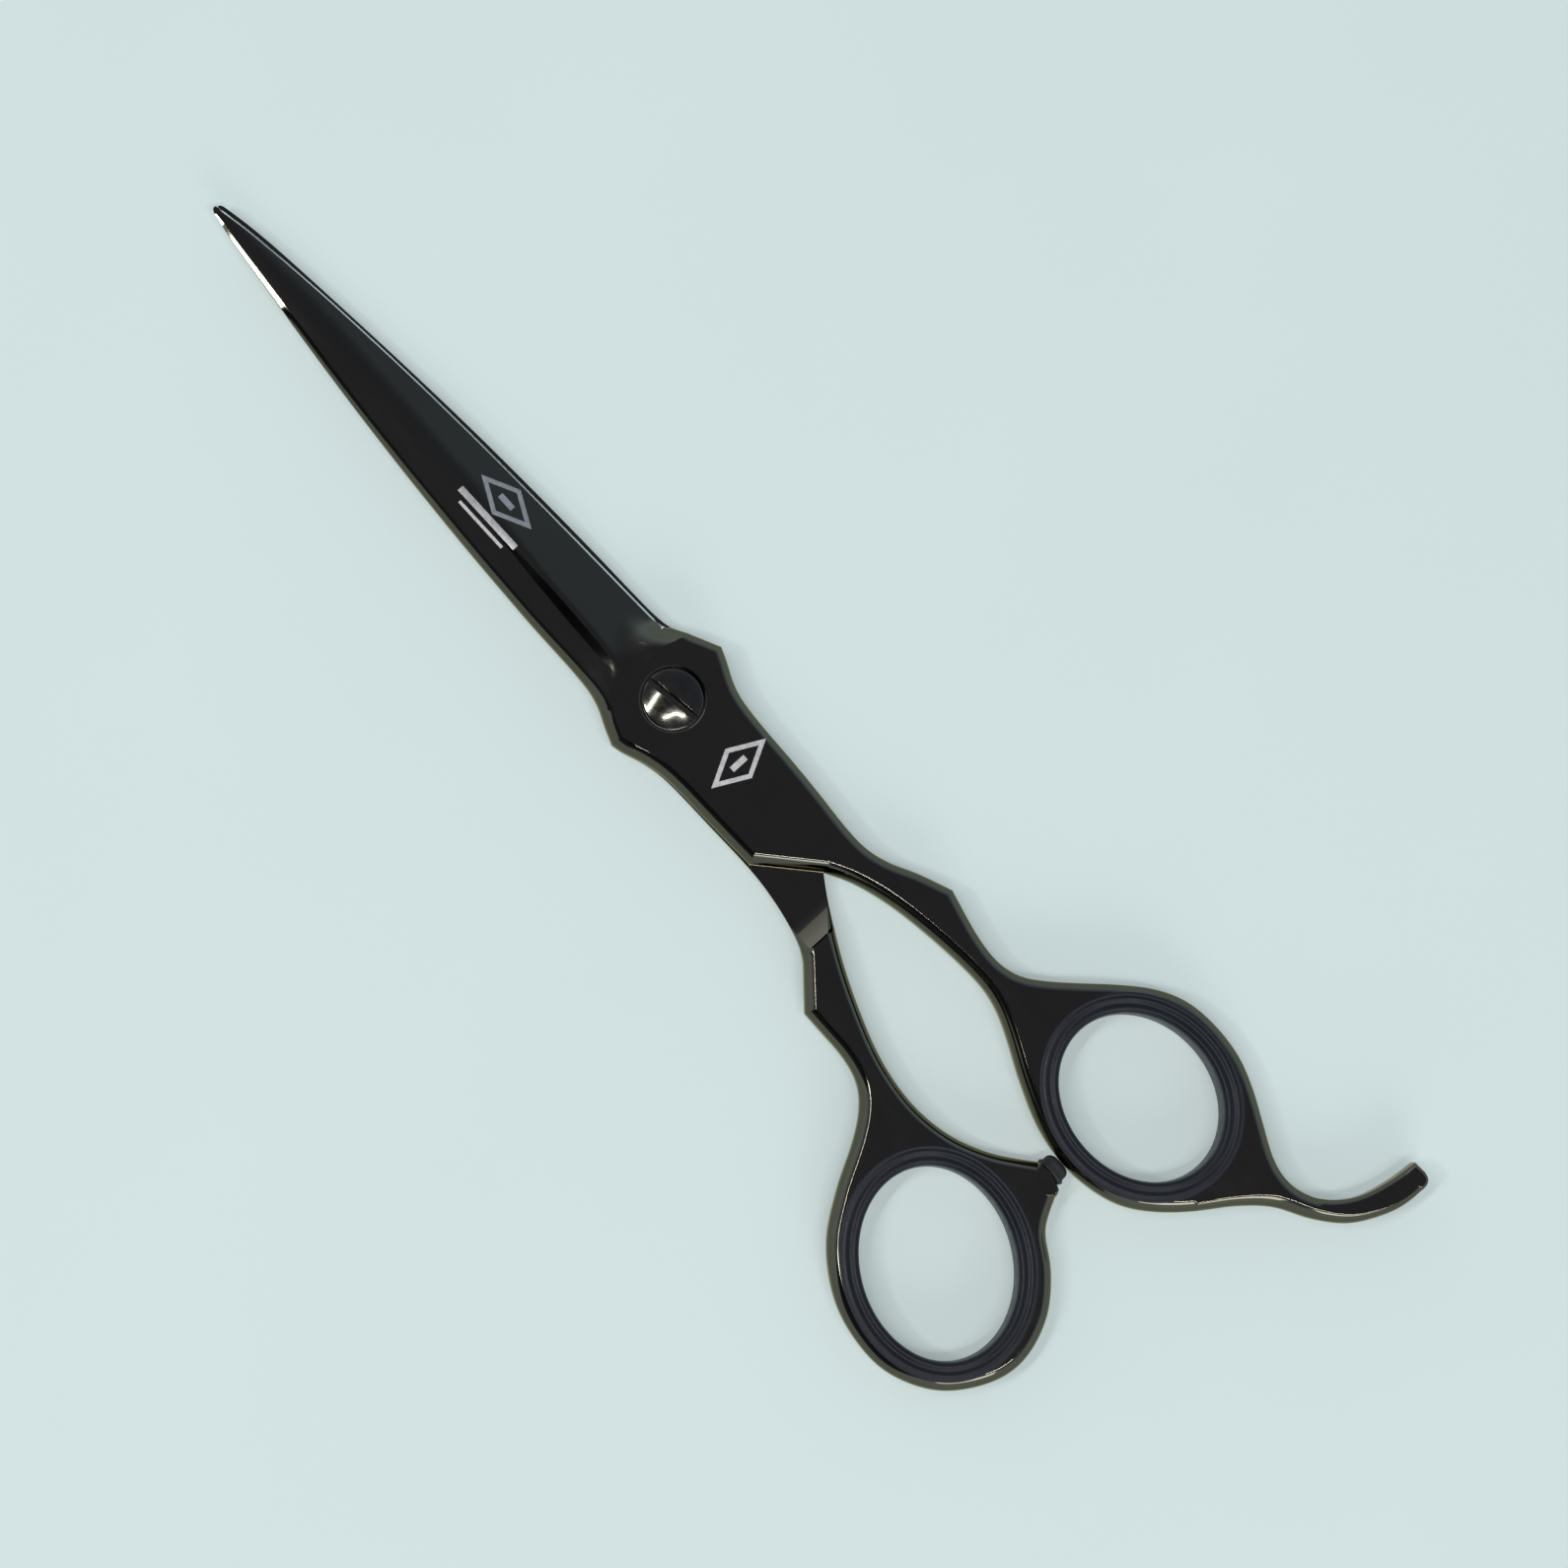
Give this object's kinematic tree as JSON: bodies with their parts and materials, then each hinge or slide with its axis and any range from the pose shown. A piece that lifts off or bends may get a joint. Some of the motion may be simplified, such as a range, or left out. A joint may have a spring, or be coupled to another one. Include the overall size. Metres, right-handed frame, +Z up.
{
  "type": "hair cutting shears",
  "caption": "Offset-handle hair cutting shears with black mirror-coated blades, rubber-lined rings, finger rest, slotted pivot screw and a bumper between the rings.",
  "frame": {"origin": "under the middle of the closed shears' bounding box, on the surface that they lie on", "axes": "+X along the blades towards the tips, +Y towards the thumb ring, +Z up out of the surface, the way the pivot screw's head faces"},
  "size_m": [0.182, 0.0632, 0.0063],
  "materials": {
    "black_coated_steel": "mirror-polished black vapour-coated stainless steel, bare along the honed edges",
    "black_coated_screw": "polished black-coated steel",
    "spring_steel": "bright spring steel",
    "nylon": "satin natural nylon",
    "ring_rubber": "satin blue-black moulded rubber",
    "bumper_rubber": "matt black rubber"
  },
  "bodies": {
    "thumb_half": {"lower_half": "black_coated_steel", "thumb_ring_insert": "ring_rubber", "bumper": "bumper_rubber"},
    "finger_half": {"upper_half": "black_coated_steel", "finger_ring_insert": "ring_rubber", "pivot_bush": "nylon", "spring_washer": "spring_steel"},
    "screw": {"pivot_screw": "black_coated_screw"}
  },
  "joints": [
    {"name": "blade_pivot", "type": "hinge", "parent": "thumb_half", "child": "finger_half", "pos_m": [0.0116, -0.00337, 0.003], "axis": [0, 0, 1], "range_deg": [0, 145]},
    {"name": "tension_screw", "type": "hinge", "parent": "thumb_half", "child": "screw", "pos_m": [0.0116, -0.00337, 0.003], "axis": [0, 0, 1], "range_deg": [-90, 90]}
  ]
}
